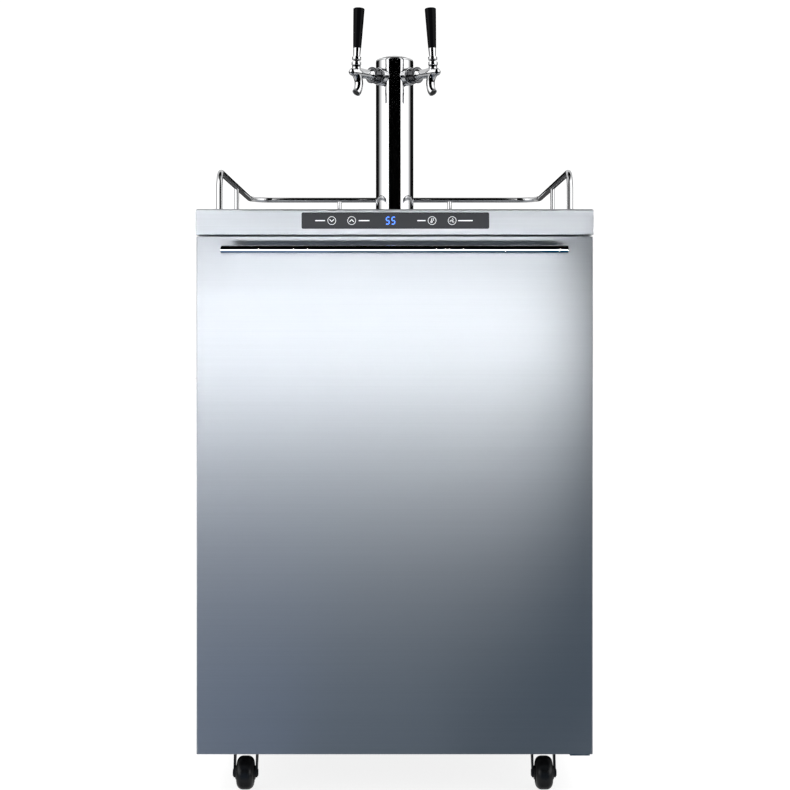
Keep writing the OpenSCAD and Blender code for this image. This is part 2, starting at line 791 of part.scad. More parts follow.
// Brackets with the two hinge pins
module door_hinges() {
  x0 = hinge_x - 15;
  x1 = hinge_x + 15;
  y0 = hinge_y - 12;
  pin_z = door_z1 - hinge_bush_h + 1;
  color([0.55, 0.56, 0.58]) {
    box(x0, x1, y0, shell_y0 - gap, skirt_z + sheet_t, skirt_z + sheet_t + 3);
    box(x0, x1, shell_y0 - 3, shell_y0, skirt_z + sheet_t + 3, shell_z1 - 4);
    rod_z([hinge_x, hinge_y, pin_z], hinge_pin_r, skirt_z + sheet_t - pin_z + 1);
    box(x0, x1, y0, shell_y0 + 45, tray_z - 3, tray_z);
    rod_z([hinge_x, hinge_y, tray_z], hinge_pin_r, door_z0 + hinge_bush_h - 1 - tray_z);
    rod_z([hinge_x, hinge_y, tray_z], 7, door_z0 - tray_z - gap);
  }
}

// ---- Casters ----

module caster_plate(x, y) {
  translate([x, y, 0]) {
    box(-30, 30, -26, 26, tray_z - 3, tray_z);
    difference() {
      rod_z([0, 0, yoke_top + gap], 20, tray_z - 3 - yoke_top - gap);
      rod_z([0, 0, yoke_top], 16, 3);
    }
    rod_z([0, 0, 57.7], 5, tray_z - 57.7);
    rod_z([0, 0, 55.6], 8, 2.1);
    for (sx = [-1, 1], sy = [-1, 1]) translate([sx * 24, sy * 20, tray_z - 7])
      cylinder(r = 4.5, h = 4, $fn = 6);
  }
}
module caster_plates() {
  color([0.6, 0.6, 0.62]) for (s = [-1, 1], y = [caster_front_y, caster_rear_y])
    caster_plate(s * caster_x, y);
}

// Swivelling fork with its axle, turned so that the wheel leads towards the front
module yoke(side, y) {
  leg_x = 16;
  leg_t = 2.5;
  eye_r = 7.5;
  cap_t = 1.2;
  color([0.1, 0.1, 0.11]) translate([side * caster_x, y, 0]) {
    difference() {
      union() {
        rod_z([0, 0, 62], 19, yoke_top - 62);
        box(-leg_x - leg_t, leg_x + leg_t, -16, 12, 58, 62.5);
        for (x = [-leg_x - leg_t, leg_x]) translate([x, 0, 0]) rotate([90, 0, 90]) linear_extrude(leg_t) {
          polygon([
            [-16, 62], [12, 62],
            [-caster_trail + 6.8, wheel_r - 3.2], [-caster_trail - 7.1, wheel_r + 2.4]
          ]);
          translate([-caster_trail, wheel_r]) circle(eye_r);
        }
      }
      rod_z([0, 0, 50], 5 + play, 30);
      rod_x([-30, -caster_trail, wheel_r], axle_r, 60);
    }
    rod_x([-leg_x - leg_t - cap_t, -caster_trail, wheel_r], axle_r, 2 * (leg_x + leg_t + cap_t));
    for (x = [-leg_x - leg_t - cap_t, leg_x + leg_t]) difference() {
      rod_x([x, -caster_trail, wheel_r], eye_r - 2, cap_t);
      rod_x([x - 1, -caster_trail, wheel_r], axle_r, 4);
    }
  }
}
module front_left_yoke() { yoke(-1, caster_front_y); }
module front_right_yoke() { yoke(1, caster_front_y); }
module rear_left_yoke() { yoke(-1, caster_rear_y); }
module rear_right_yoke() { yoke(1, caster_rear_y); }

module wheel(side, y) {
  hub = 15.5;
  hub_r = 11;
  web = 8.5;
  rim_r = 15;
  round_r = 10;
  tread = tread_w / 2;
  color([0.05, 0.05, 0.05]) translate([side * caster_x, y - caster_trail, wheel_r]) rotate([0, 90, 0])
    rotate_extrude() polygon(concat(
      [[axle_r + play, -hub], [hub_r - 1, -hub], [hub_r, -hub + 1]],
      [[hub_r, -web], [rim_r, -web], [rim_r, -tread]],
      arc(wheel_r - round_r, -tread + round_r, round_r, -90, 0, 8),
      arc(wheel_r - round_r, tread - round_r, round_r, 0, 90, 8),
      [[rim_r, tread], [rim_r, web], [hub_r, web]],
      [[hub_r, hub - 1], [hub_r - 1, hub], [axle_r + play, hub]]));
}
module front_left_wheel() { wheel(-1, caster_front_y); }
module front_right_wheel() { wheel(1, caster_front_y); }
module rear_left_wheel() { wheel(-1, caster_rear_y); }
module rear_right_wheel() { wheel(1, caster_rear_y); }

// ---- Gas supply ----

module co2_cylinder() {
  r = cylinder_r;
  shoulder = 44;
  color([0.78, 0.8, 0.82]) translate([cylinder_x, cylinder_y, 0]) rotate_extrude() polygon(concat(
    [[0, hump_z]], arc(r - 8, hump_z + 8, 8, -90, 0, 6),
    arc(r - shoulder, cylinder_top - shoulder, shoulder, 0, 85, 12),
    [[16, cylinder_top + 1], [16, cylinder_top + 16], [0, cylinder_top + 16]]));
}

// Cylinder valve, two-gauge regulator, shut-off valve and hose tail
module co2_regulator() {
  x = regulator_x;
  y = 206;
  gauge_r = 20;
  color([0.75, 0.62, 0.35]) {
    rod_z([cylinder_x, cylinder_y, cylinder_top + 16], 13, 41);
    rod_z([cylinder_x, cylinder_y, cylinder_top + 57], 4, 22);
    difference() {
      rod_x([cylinder_x, cylinder_y, outlet_z], 9, 58);
      rod_z([cylinder_x, cylinder_y, outlet_z - 30], 13, 60);
      rod_y([x, 150, outlet_z], regulator_r, 100);
    }
    difference() {
      translate([cylinder_x + 26, cylinder_y, outlet_z]) rotate([0, 90, 0])
        cylinder(r = 15, h = 16, $fn = 6);
      rod_x([cylinder_x, cylinder_y, outlet_z], 9, 60);
    }
    rod_y([x, 190, outlet_z], regulator_r, 32);
    rod_z([x, y, outlet_z + regulator_r - 1], 5, 12);
    rod_y([x, y - 11, outlet_z + regulator_r + 28], gauge_r, 22);
    rod_x([x + regulator_r - 1, y, outlet_z], 5, 12);
    rod_y([x + regulator_r + 28, y - 11, outlet_z], gauge_r, 22);
    difference() {
      union() {
        rod_z([x, y, outlet_z - regulator_r - 26], 8, 27);
        rod_z([x, y, outlet_z - regulator_r - 50], 3.2, 25);
        for (i = [0:3]) translate([x, y, outlet_z - regulator_r - 49 + i * 5])
          cylinder(r1 = 3.5, r2 = 4.4, h = 4);
      }
      rod_z([x, y, outlet_z - regulator_r - 51], 2, 40);
    }
    rod_y([x, y - 14, outlet_z - regulator_r - 12], 4, 7);
    rod_y([x, 182, outlet_z], 4, 8);
  }
}

module cylinder_knob() {
  lobes = 8;
  z = cylinder_top + 58;
  color([0.15, 0.25, 0.5]) translate([cylinder_x, cylinder_y, z]) difference() {
    cylinder(r = 22, h = 13);
    for (a = [0:360 / lobes:359]) rotate([0, 0, a]) translate([25.5, 0, -1]) cylinder(r = 6, h = 20);
    translate([0, 0, -1]) cylinder(r = 4 + play, h = 20);
  }
}

module regulator_knob() {
  color([0.1, 0.1, 0.1]) translate([regulator_x, 189.5, outlet_z]) rotate([90, 0, 0]) difference() {
    cylinder(r = 14, h = 20);
    for (a = [0:30:330]) rotate([0, 0, a]) translate([15.5, 0, -1]) cylinder(r = 2.4, h = 30);
    translate([0, 0, -1]) cylinder(r = 4 + play, h = 9.5);
  }
}

module shutoff_lever() {
  z = outlet_z - regulator_r - 12;
  color([0.7, 0.1, 0.1]) difference() {
    union() {
      rod_y([regulator_x, 191, z], 7, 6.5);
      box(regulator_x - 3.5, regulator_x + 3.5, 191, 194, z - 34, z);
    }
    rod_y([regulator_x, 189, z], 4 + play, 20);
  }
}

module cylinder_strap() {
  z0 = 540;
  color([0.15, 0.15, 0.16]) difference() {
    union() {
      rod_z([cylinder_x, cylinder_y, z0], cylinder_r + 2.5, 20);
      box(cylinder_x - 25, cylinder_x + 25, 255, cavity_y1, z0, z0 + 20);
    }
    rod_z([cylinder_x, cylinder_y, z0 - 1], cylinder_r + 0.2, 22);
  }
}

// ---- Drip tray ----

module drip_tray() {
  rim = 8;
  t = 1;
  lip = 0.9;
  color([0.2, 0.2, 0.21]) difference() {
    union() {
      box(-tray_x + 4, tray_x - 4, tray_y0 + 4, tray_y1 - 4, worktop_h - tray_depth, worktop_h + 0.5);
      box(-tray_x - rim, tray_x + rim, tray_y0 - rim, tray_y1 + 4, worktop_h + gap, worktop_h + gap + lip);
    }
    box(-tray_x + 4 + t, tray_x - 4 - t, tray_y0 + 4 + t, tray_y1 - 4 - t, worktop_h - tray_depth + t, far);
  }
}

// Slotted grid that lies in the tray on four feet
module drip_grid() {
  inset = 9;
  x = tray_x - inset;
  y0 = tray_y0 + inset;
  y1 = tray_y1 - inset;
  z = worktop_h - 2;
  foot = 5;
  slot_l = 45;
  row = (y1 - y0 - 2 * slot_l) / 3;
  color("silver") {
    difference() {
      box(-x, x, y0, y1, z, z + 1.5);
      for (i = [-12:12]) for (j = [0, 1])
        translate([i * 10, y0 + row + j * (row + slot_l), z]) box(-2.5, 2.5, 0, slot_l, -1, 3);
    }
    for (sx = [-1, 1], y = [y0, y1 - foot]) translate([sx * (x - foot / 2), y, 0])
      box(-foot / 2, foot / 2, 0, foot, worktop_h - tray_depth + 1.3, z);
  }
}

cabinet_shell();
cabinet_foam();
inner_liner();
worktop();
control_overlay();
control_board();
down_key();
up_key();
temperature_key();
fan_key();
base_tray();
rear_panel();
compressor();
condenser_coil();
refrigerant_lines();
evaporator_plate();
fan_housing();
fan_impeller();
keg_floor_plate();
guard_rail();
tower_column();
tower_cap();
tower_flange();
tower_duct();
shank_collars();
faucet_shanks();
coupling_nuts();
left_faucet_body();
right_faucet_body();
left_lever();
right_lever();
left_tap_handle();
right_tap_handle();
left_plunger();
right_plunger();
door_hinges();
caster_plates();
front_left_yoke();
front_right_yoke();
rear_left_yoke();
rear_right_yoke();
front_left_wheel();
front_right_wheel();
rear_left_wheel();
rear_right_wheel();
co2_cylinder();
co2_regulator();
cylinder_knob();
regulator_knob();
shutoff_lever();
cylinder_strap();
interior_light();
power_inlet();
door_skin();
door_foam();
door_liner();
door_gasket();
door_handle();
drip_tray();
drip_grid();
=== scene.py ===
import json
import math

import bmesh
import bpy
from mathutils import Matrix, Vector


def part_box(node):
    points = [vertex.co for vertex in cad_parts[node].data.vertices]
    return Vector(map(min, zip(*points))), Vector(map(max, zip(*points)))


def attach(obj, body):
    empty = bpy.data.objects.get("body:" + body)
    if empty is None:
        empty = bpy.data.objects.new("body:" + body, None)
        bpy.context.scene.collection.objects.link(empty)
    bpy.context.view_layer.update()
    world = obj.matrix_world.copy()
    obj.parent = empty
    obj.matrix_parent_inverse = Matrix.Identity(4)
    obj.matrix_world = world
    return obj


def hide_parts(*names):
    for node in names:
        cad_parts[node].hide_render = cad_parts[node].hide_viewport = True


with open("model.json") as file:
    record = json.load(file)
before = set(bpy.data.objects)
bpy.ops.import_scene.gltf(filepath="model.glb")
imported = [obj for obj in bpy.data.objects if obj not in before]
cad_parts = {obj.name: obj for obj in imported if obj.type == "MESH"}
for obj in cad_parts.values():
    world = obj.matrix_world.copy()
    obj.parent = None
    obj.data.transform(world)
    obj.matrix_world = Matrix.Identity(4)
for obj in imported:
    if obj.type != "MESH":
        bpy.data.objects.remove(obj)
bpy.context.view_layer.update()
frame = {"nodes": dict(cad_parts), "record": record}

MM = 0.001
nodes = frame["nodes"]
scene = bpy.context.scene


# ---------------------------------------------------------------- mesh helpers

SHARP_ANGLE = math.radians(35)      # edges sharper than this stay hard


def put(name, bm, material, body, replaces=()):
    """Turns a bmesh into a piece that rides on a body and stands for CAD nodes."""
    bmesh.ops.recalc_face_normals(bm, faces=bm.faces)
    mesh = bpy.data.meshes.new(name)
    bm.to_mesh(mesh)
    bm.free()
    mesh.shade_smooth()
    mesh.set_sharp_from_angle(angle=SHARP_ANGLE)
    mesh.materials.append(material)
    piece = bpy.data.objects.new(name, mesh)
    scene.collection.objects.link(piece)
    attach(piece, body)
    if replaces:
        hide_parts(*replaces)
    return piece


def ring(bm, centre, across, over, r, sides):
    """Circle of vertices in the plane of two unit vectors."""
    step = 2 * math.pi / sides
    return [bm.verts.new(centre + across * (r * math.cos(i * step)) + over * (r * math.sin(i * step)))
            for i in range(sides)]


def bridge(bm, a, b):
    """Faces between two rings with the same number of vertices."""
    n = len(a)
    for i in range(n):
        bm.faces.new((a[i], a[(i + 1) % n], b[(i + 1) % n], b[i]))


def sweep(bm, path, radius, sides=32, up=None):
    """Closed tube along a path; radius is a number or one per point."""
    path = [Vector(p) for p in path]
    radii = radius if isinstance(radius, (list, tuple)) else [radius] * len(path)
    end = len(path) - 1
    tangents = [(path[min(i + 1, end)] - path[max(i - 1, 0)]).normalized() for i in range(len(path))]
    side = up or tangents[0].orthogonal()
    last = None
    for p, t, r in zip(path, tangents, radii):
        side = (side - t * side.dot(t)).normalized()
        current = ring(bm, p, side, t.cross(side), r, sides)
        if last:
            bridge(bm, last, current)
        else:
            bm.faces.new(current)
        last = current
    bm.faces.new(last)


def lathe(bm, profile, place=Matrix(), steps=96):
    """Closed solid of revolution about local Z from (radius, height) points, going up or right round."""
    rows = []
    for r, z in profile:
        if r < 1e-7:
            rows.append([bm.verts.new(place @ Vector((0, 0, z)))])
        else:
            rows.append([bm.verts.new(place @ Vector((r * math.cos(a), r * math.sin(a), z)))
                         for a in (2 * math.pi * i / steps for i in range(steps))])
    for a, b in zip(rows, rows[1:]):
        if len(a) == 1 and len(b) == 1:
            continue
        for i in range(steps):
            j = (i + 1) % steps
            corners = [a[i % len(a)], a[j % len(a)], b[j % len(b)], b[i % len(b)]]
            bm.faces.new(list(dict.fromkeys(corners)))
    if len(rows[0]) > 1 and len(rows[-1]) > 1:
        for i in range(steps):
            j = (i + 1) % steps
            bm.faces.new((rows[-1][i], rows[-1][j], rows[0][j], rows[0][i]))


def arc(cx, cy, r, a0, a1, n=8):
    """Points of an arc in a profile, angles in degrees."""
    return [(cx + r * math.cos(math.radians(a0 + (a1 - a0) * i / n)),
             cy + r * math.sin(math.radians(a0 + (a1 - a0) * i / n))) for i in range(n + 1)]


def block(bm, lo, hi, r=0.0, segments=3, keep=None):
    """Box with round edges; keep(edge) chooses the edges that are rounded."""
    made = bmesh.ops.create_cube(bm, size=1.0)["verts"]
    lo, hi = Vector(lo), Vector(hi)
    for v in made:
        v.co = Vector([lo[i] + (hi[i] - lo[i]) * (v.co[i] + 0.5) for i in range(3)])
    if r > 0:
        own = set(made)
        edges = [e for e in bm.edges
                 if e.verts[0] in own and e.verts[1] in own and (keep is None or keep(e))]
        bmesh.ops.bevel(bm, geom=edges, offset=r, segments=segments, profile=0.5, affect="EDGES")


def bend_path(corners, radii, steps=10):
    """Path through corners with an arc of the given radius at each inner corner."""
    corners = [Vector(c) for c in corners]
    points = [corners[0]]
    for before, here, after, r in zip(corners, corners[1:], corners[2:], radii):
        a, b = (before - here).normalized(), (after - here).normalized()
        half = a.angle(b) / 2
        reach = r / math.tan(half)
        centre = here + (a + b).normalized() * (r / math.sin(half))
        start, end = (here + a * reach - centre).normalized(), (here + b * reach - centre).normalized()
        for i in range(steps + 1):
            points.append(centre + start.slerp(end, i / steps) * r)
    points.append(corners[-1])
    return points


def axis_place(origin, direction):
    """Matrix that maps local Z to a direction and the origin to a point, local X as near up as it can be."""
    up = Vector((0, 0, 1))
    z = Vector(direction).normalized()
    x = up - z * up.dot(z)
    x = x.normalized() if x.length > 1e-6 else z.orthogonal()
    y = z.cross(x)
    m = Matrix((x, y, z)).transposed().to_4x4()
    m.translation = Vector(origin)
    return m


# ---------------------------------------------------------------- materials

def shader(name, colour, metallic=0.0, rough=0.5, **sockets):
    """Principled material; sockets are named with underscores for spaces."""
    material = bpy.data.materials.new(name)
    material.use_nodes = True
    bsdf = material.node_tree.nodes["Principled BSDF"]
    bsdf.inputs["Base Color"].default_value = (*colour, 1)
    bsdf.inputs["Metallic"].default_value = metallic
    bsdf.inputs["Roughness"].default_value = rough
    for key, value in sockets.items():
        bsdf.inputs[key.replace("_", " ")].default_value = value
    return material


def add(material, kind, **values):
    """New node whose inputs or settings get the values."""
    node = material.node_tree.nodes.new(kind)
    for key, value in values.items():
        if key in node.inputs:
            node.inputs[key].default_value = value
        else:
            setattr(node, key, value)
    return node


def link(material, a, b):
    material.node_tree.links.new(a, b)


def noise(material, scale, stretch=(1, 1, 1), detail=3.0, seed=0.0):
    """Noise in the object's own space, in cycles per metre, stretched along an axis."""
    coord = add(material, "ShaderNodeTexCoord")
    mapping = add(material, "ShaderNodeMapping")
    mapping.inputs["Scale"].default_value = [scale * s for s in stretch]
    mapping.inputs["Location"].default_value = (seed, seed * 0.7, seed * 1.3)
    texture = add(material, "ShaderNodeTexNoise", Scale=1.0, Detail=detail, Roughness=0.55)
    link(material, coord.outputs["Object"], mapping.inputs["Vector"])
    link(material, mapping.outputs["Vector"], texture.inputs["Vector"])
    return texture.outputs["Fac"]


def vary(material, fac, socket, low, high):
    """Drives a number or colour of the shader between two values by a texture."""
    bsdf = material.node_tree.nodes["Principled BSDF"]
    if isinstance(low, (int, float)):
        node = add(material, "ShaderNodeMapRange")
        node.inputs["From Min"].default_value = 0.3
        node.inputs["From Max"].default_value = 0.7
        node.inputs["To Min"].default_value = low
        node.inputs["To Max"].default_value = high
        link(material, fac, node.inputs["Value"])
        link(material, node.outputs["Result"], bsdf.inputs[socket])
    else:
        node = add(material, "ShaderNodeValToRGB")
        node.color_ramp.elements[0].position = 0.3
        node.color_ramp.elements[1].position = 0.7
        node.color_ramp.elements[0].color = (*low, 1)
        node.color_ramp.elements[1].color = (*high, 1)
        link(material, fac, node.inputs["Fac"])
        link(material, node.outputs["Color"], bsdf.inputs[socket])


def bump(material, fac, strength, distance):
    """Tilts the shader's normal by a texture."""
    bsdf = material.node_tree.nodes["Principled BSDF"]
    node = add(material, "ShaderNodeBump", Strength=strength, Distance=distance)
    link(material, fac, node.inputs["Height"])
    link(material, node.outputs["Normal"], bsdf.inputs["Normal"])


def shade(colour, factor):
    return tuple(channel * factor for channel in colour)


def brushed_steel(name, colour, rough, grain, depth=1.0):
    """Sheet metal with a grain: its highlights spread across it. Depth scales how much the grain shows."""
    m = shader(name, colour, 1.0, rough, Anisotropic=0.8, Anisotropic_Rotation=0.25)
    tangent = add(m, "ShaderNodeTangent", direction_type="RADIAL", axis="Z")
    link(m, tangent.outputs["Tangent"], m.node_tree.nodes["Principled BSDF"].inputs["Tangent"])
    streaks = noise(m, 1.0, grain, 4.0)
    vary(m, streaks, "Roughness", rough * (1 - 0.05 * depth), rough * (1 + 0.05 * depth))
    vary(m, noise(m, 1.0, [g * 0.6 for g in grain], 2.0, 4.0), "Base Color",
         shade(colour, 1 - 0.015 * depth), shade(colour, 1 + 0.015 * depth))
    return m


def polished(name, colour, rough):
    """Bright metal whose gloss changes a little from place to place."""
    m = shader(name, colour, 1.0, rough)
    vary(m, noise(m, 60, (1, 1, 1), 3.0), "Roughness", rough * 0.7, rough * 1.6)
    return m


def moulded(name, colour, rough, grain=900, height=0.00004, strength=0.35, spread=0.1, **sockets):
    """Plastic, rubber or paint: fine texture, and slow changes of gloss and tone within the spread."""
    m = shader(name, colour, 0.0, rough, **sockets)
    fine = noise(m, grain, (1, 1, 1), 2.0)
    vary(m, noise(m, 25, (1, 1, 1), 3.0), "Roughness", rough * (1 - spread), rough * (1 + spread))
    dark, light = shade(colour, 1 - spread * 0.5), shade(colour, 1 + spread * 0.5)
    vary(m, noise(m, 12, (1, 1, 1), 2.0, 3.0), "Base Color", dark, light)
    bump(m, fine, strength, height)
    return m


def glowing(name, colour, strength):
    """A lit surface over a dim ground of the same colour."""
    return shader(name, shade(colour, 0.2), 0.0, 0.4,
                  Emission_Color=(*colour, 1), Emission_Strength=strength)


STEEL = (0.61, 0.633, 0.665)
steel_door = brushed_steel("steel_door", STEEL, 0.52, (3, 3, 900))
steel_flat = brushed_steel("steel_sheet", STEEL, 0.45, (4, 4, 500), 3.0)
# the same steel darkened by 0.87: painted shade, giving the worktop and its front strip the duller tone they
# show under this light
steel_top_painted_shade = brushed_steel("steel_top_painted_shade", shade(STEEL, 0.87), 0.47, (4, 500, 500), 2.0)
chrome = polished("chrome", (0.93, 0.935, 0.945), 0.035)
# chrome with a deep grey colour: painted dark reflection, so the coupling nuts read nearly black
chrome_painted_dark = polished("chrome_ring_painted_dark", (0.17, 0.172, 0.18), 0.05)
zinc = shader("galvanised", (0.5, 0.52, 0.54), 1.0, 0.42)
black_gloss = shader("black_gloss", (0.002, 0.002, 0.0025), 0.0, 0.08, Specular_IOR_Level=0.07)
vary(black_gloss, noise(black_gloss, 90), "Roughness", 0.05, 0.09)
powder_black = moulded("powder_black", (0.016, 0.016, 0.018), 0.38, 1400, 0.00006)
black_plastic = moulded("black_plastic", (0.02, 0.02, 0.022), 0.45, 1600, 0.00005)
rubber = moulded("rubber", (0.012, 0.012, 0.012), 0.62, 1200, 0.00006)
tyre = moulded("tyre", (0.003, 0.003, 0.0035), 0.34, 700, 0.00005, 0.25)
yoke_black = moulded("yoke_black", (0.005, 0.005, 0.006), 0.4, 1400, 0.00006)
gasket_rubber = moulded("gasket_rubber", (0.055, 0.055, 0.058), 0.6, 1200, 0.00004)
white_plastic = moulded("white_plastic", (0.66, 0.67, 0.68), 0.38, 420, 0.00005, 0.2, spread=0.03)
overlay_film = moulded("overlay_film", (0.02, 0.021, 0.024), 0.3, 2200, 0.00001, 0.2, spread=0.04,
                        Specular_IOR_Level=0.3)
print_white = shader("print_white", (0.7, 0.71, 0.73), 0.0, 0.5)
print_black = shader("print_black", (0.01, 0.01, 0.01), 0.0, 0.5)
led_blue = glowing("led_blue", (0.06, 0.2, 0.95), 2.2)
led_off = shader("led_off", (0.012, 0.014, 0.03), 0.0, 0.3)
copper = polished("copper", (0.86, 0.45, 0.3), 0.25)
brass = polished("brass", (0.8, 0.62, 0.33), 0.22)
satin_alu = brushed_steel("satin_aluminium", (0.78, 0.79, 0.8), 0.34, (500, 500, 6))
blue_plastic = moulded("blue_plastic", (0.02, 0.07, 0.3), 0.35)
red_plastic = moulded("red_plastic", (0.45, 0.02, 0.015), 0.35)
circuit_green = moulded("circuit_green", (0.01, 0.09, 0.035), 0.3)
foam_yellow = moulded("foam", (0.7, 0.6, 0.34), 0.8, 500, 0.0004, 0.8)
lens = shader("frosted_lens", (0.9, 0.92, 0.95), 0.0, 0.35, Transmission_Weight=0.4,
              Emission_Color=(0.9, 0.95, 1, 1), Emission_Strength=0.6)
glass = shader("glass", (1, 1, 1), 0.0, 0.02, Transmission_Weight=1.0, IOR=1.45)
dial_white = shader("dial_white", (0.85, 0.85, 0.83), 0.0, 0.5)

# zinc spangle on galvanised sheet
spangle = add(zinc, "ShaderNodeTexVoronoi", Scale=160.0)
zinc_coord = add(zinc, "ShaderNodeTexCoord")
link(zinc, zinc_coord.outputs["Object"], spangle.inputs["Vector"])
vary(zinc, spangle.outputs["Color"], "Roughness", 0.34, 0.52)
vary(zinc, spangle.outputs["Color"], "Base Color", (0.44, 0.46, 0.48), (0.56, 0.58, 0.6))

SLOT_LOOK = {
    "stainless": steel_flat, "chrome": chrome, "black_plastic": black_plastic, "black_gloss": black_gloss,
    "white_plastic": white_plastic, "foam": foam_yellow, "overlay": overlay_film,
    "circuit": circuit_green, "black_paint": powder_black, "galvanised": zinc, "copper": copper,
    "aluminium": satin_alu, "brass": brass, "rubber": rubber, "gasket": gasket_rubber,
    "light_lens": lens, "blue_plastic": blue_plastic, "red_plastic": red_plastic,
}
node_slot = {s["node"]: s["material_slot"] for s in frame["record"]["subparts"]}


# ---------------------------------------------------------------- CAD nodes that stay

def dress(node, material=None, bevel=0.0):
    """Gives a CAD node its material, smooth shading by angle and, where asked, softened edges."""
    piece = nodes[node]
    piece.data.materials.clear()
    piece.data.materials.append(material or SLOT_LOOK[node_slot[node]])
    if bevel:
        soften = piece.modifiers.new("soften", "BEVEL")
        soften.width = bevel
        soften.segments = 2
        soften.limit_method = "ANGLE"
        soften.angle_limit = math.radians(40)
        soften.harden_normals = True
    return piece


for each in nodes:
    dress(each)
# worktop in the darkened copy of the steel: painted shade
dress("worktop", steel_top_painted_shade)


# ---------------------------------------------------------------- stage

FRONT_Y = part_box("door_skin")[0][1]
EYE_HEIGHT = 0.716
EYE_DISTANCE = 2.3
LENS = 69.5
HORIZON_ABOVE_CENTRE = 0.0810126582     # in picture widths, as the next
CENTRE_RIGHT = 0.000443037975

camera_data = bpy.data.cameras.new("camera")
camera_data.lens = LENS
camera_data.sensor_width = 36
camera_data.shift_x = CENTRE_RIGHT
camera_data.shift_y = -HORIZON_ABOVE_CENTRE
camera_data.clip_end = 50
camera = bpy.data.objects.new("camera", camera_data)
camera.location = (0, FRONT_Y - EYE_DISTANCE, EYE_HEIGHT)
camera.rotation_euler = (math.radians(90), 0, 0)
scene.collection.objects.link(camera)
scene.camera = camera
scene.view_settings.view_transform = "Standard"

floor_mesh = bmesh.new()
bmesh.ops.create_grid(floor_mesh, x_segments=1, y_segments=1, size=20)
floor_data = bpy.data.meshes.new("floor")
floor_mesh.to_mesh(floor_data)
floor_mesh.free()
floor = bpy.data.objects.new("floor", floor_data)
scene.collection.objects.link(floor)
floor_data.materials.append(shader("pale_floor", (0.3, 0.3, 0.3), 0.0, 0.9,
                                   Emission_Color=(1, 1, 1, 1), Emission_Strength=0.84))
floor.visible_glossy = False


def studio_world():
    """White surround. Mirror-like surfaces see a studio: bright walls, a dark floor and dark openings."""
    world = bpy.data.worlds.new("studio")
    scene.world = world
    world.use_nodes = True
    tree = world.node_tree
    tree.nodes.clear()

    def new(kind, **values):
        node = tree.nodes.new(kind)
        for key, value in values.items():
            setattr(node, key, value)
        return node

    def math_node(operation, a, b=None):
        node = new("ShaderNodeMath", operation=operation)
        for i, value in enumerate((a, b)):
            if value is None:
                continue
            if isinstance(value, (int, float)):
                node.inputs[i].default_value = value
            else:
                tree.links.new(value, node.inputs[i])
        return node.outputs[0]

    def curve(value, low, high, stops):
        """Piecewise grey level over a range."""
        spread = new("ShaderNodeMapRange")
        spread.inputs["From Min"].default_value = low
        spread.inputs["From Max"].default_value = high
        tree.links.new(value, spread.inputs["Value"])
        ramp = new("ShaderNodeValToRGB")
        elements = ramp.color_ramp.elements
        while len(elements) < len(stops):
            elements.new(0.5)
        for element, (at, level) in zip(elements, stops):
            element.position = (at - low) / (high - low)
            element.color = (*level, 1) if isinstance(level, tuple) else (level, level, level, 1)
        tree.links.new(spread.outputs["Result"], ramp.inputs["Fac"])
        return ramp.outputs["Color"]

    coord = new("ShaderNodeTexCoord")
    parts = new("ShaderNodeSeparateXYZ")
    tree.links.new(coord.outputs["Generated"], parts.inputs["Vector"])
    x, y, z = parts.outputs
    azimuth = math_node("ARCTAN2", x, math_node("MULTIPLY", y, -1.0))
    deg = math.pi / 180
    below = curve(z, -1.0, 0.0, [(-1.0, 0.1), (-0.6, 0.3), (-0.35, 0.3), (-0.2, 0.05), (0.0, 0.03)])
    around = curve(azimuth, -math.pi, math.pi, [
        (-math.pi, 0.003), (-117 * deg, 0.003), (-100 * deg, 0.35), (-80 * deg, 0.8), (-62 * deg, 1.0),
        (-30 * deg, 1.0), (0, 0.75), (20 * deg, 0.55), (38 * deg, 0.8), (55 * deg, 1.0),
        (90 * deg, 0.75), (104 * deg, 0.3), (115 * deg, 0.003), (math.pi, 0.003)])
    overhead = curve(z, 0.7, 1.0, [(0.8, 1.0), (0.93, 0.04)])
    walls = curve(z, 0.0, 1.0, [(0.26, 0.0), (0.36, 0.4), (0.75, 0.4), (0.87, 0.0)])
    around = math_node("MAXIMUM", around, walls)
    sides = new("ShaderNodeMix", data_type="RGBA", blend_type="MULTIPLY")
    sides.inputs["Factor"].default_value = 1.0
    tree.links.new(around, sides.inputs[6])
    tree.links.new(overhead, sides.inputs[7])
    horizon = curve(z, -0.2, 0.2, [(-0.06, 0), (0.05, 1)])
    whole = new("ShaderNodeMix", data_type="RGBA")
    tree.links.new(horizon, whole.inputs["Factor"])
    tree.links.new(below, whole.inputs[6])
    tree.links.new(sides.outputs[2], whole.inputs[7])

    path = new("ShaderNodeLightPath")
    room = new("ShaderNodeBackground")
    tree.links.new(whole.outputs[2], room.inputs["Color"])
    room.inputs["Strength"].default_value = 1.45
    white = new("ShaderNodeBackground")
    white.inputs["Color"].default_value = (1, 1, 1, 1)
    white.inputs["Strength"].default_value = 1.08
    choose = new("ShaderNodeMixShader")
    tree.links.new(path.outputs["Is Glossy Ray"], choose.inputs["Fac"])
    tree.links.new(white.outputs[0], choose.inputs[1])
    tree.links.new(room.outputs[0], choose.inputs[2])
    out = new("ShaderNodeOutputWorld")
    tree.links.new(choose.outputs[0], out.inputs["Surface"])


studio_world()


def softbox(name, location, target, size, power, on_metal=True):
    """Rectangular lamp the camera doesn't see; on_metal says whether mirror-like surfaces do."""
    data = bpy.data.lights.new(name, "AREA")
    data.shape = "RECTANGLE"
    data.size, data.size_y = size
    data.energy = power
    lamp = bpy.data.objects.new(name, data)
    lamp.location = location
    lamp.visible_camera = False
    lamp.visible_glossy = on_metal
    lamp.rotation_euler = (Vector(target) - Vector(location)).to_track_quat("-Z", "Y").to_euler()
    scene.collection.objects.link(lamp)


def door_lamp(name, x, z, distance, height, power):
    """Wide low lamp in front of the door, facing it squarely."""
    softbox(name, (x, FRONT_Y - distance, z), (x, 0, z), (1.2, height), power)


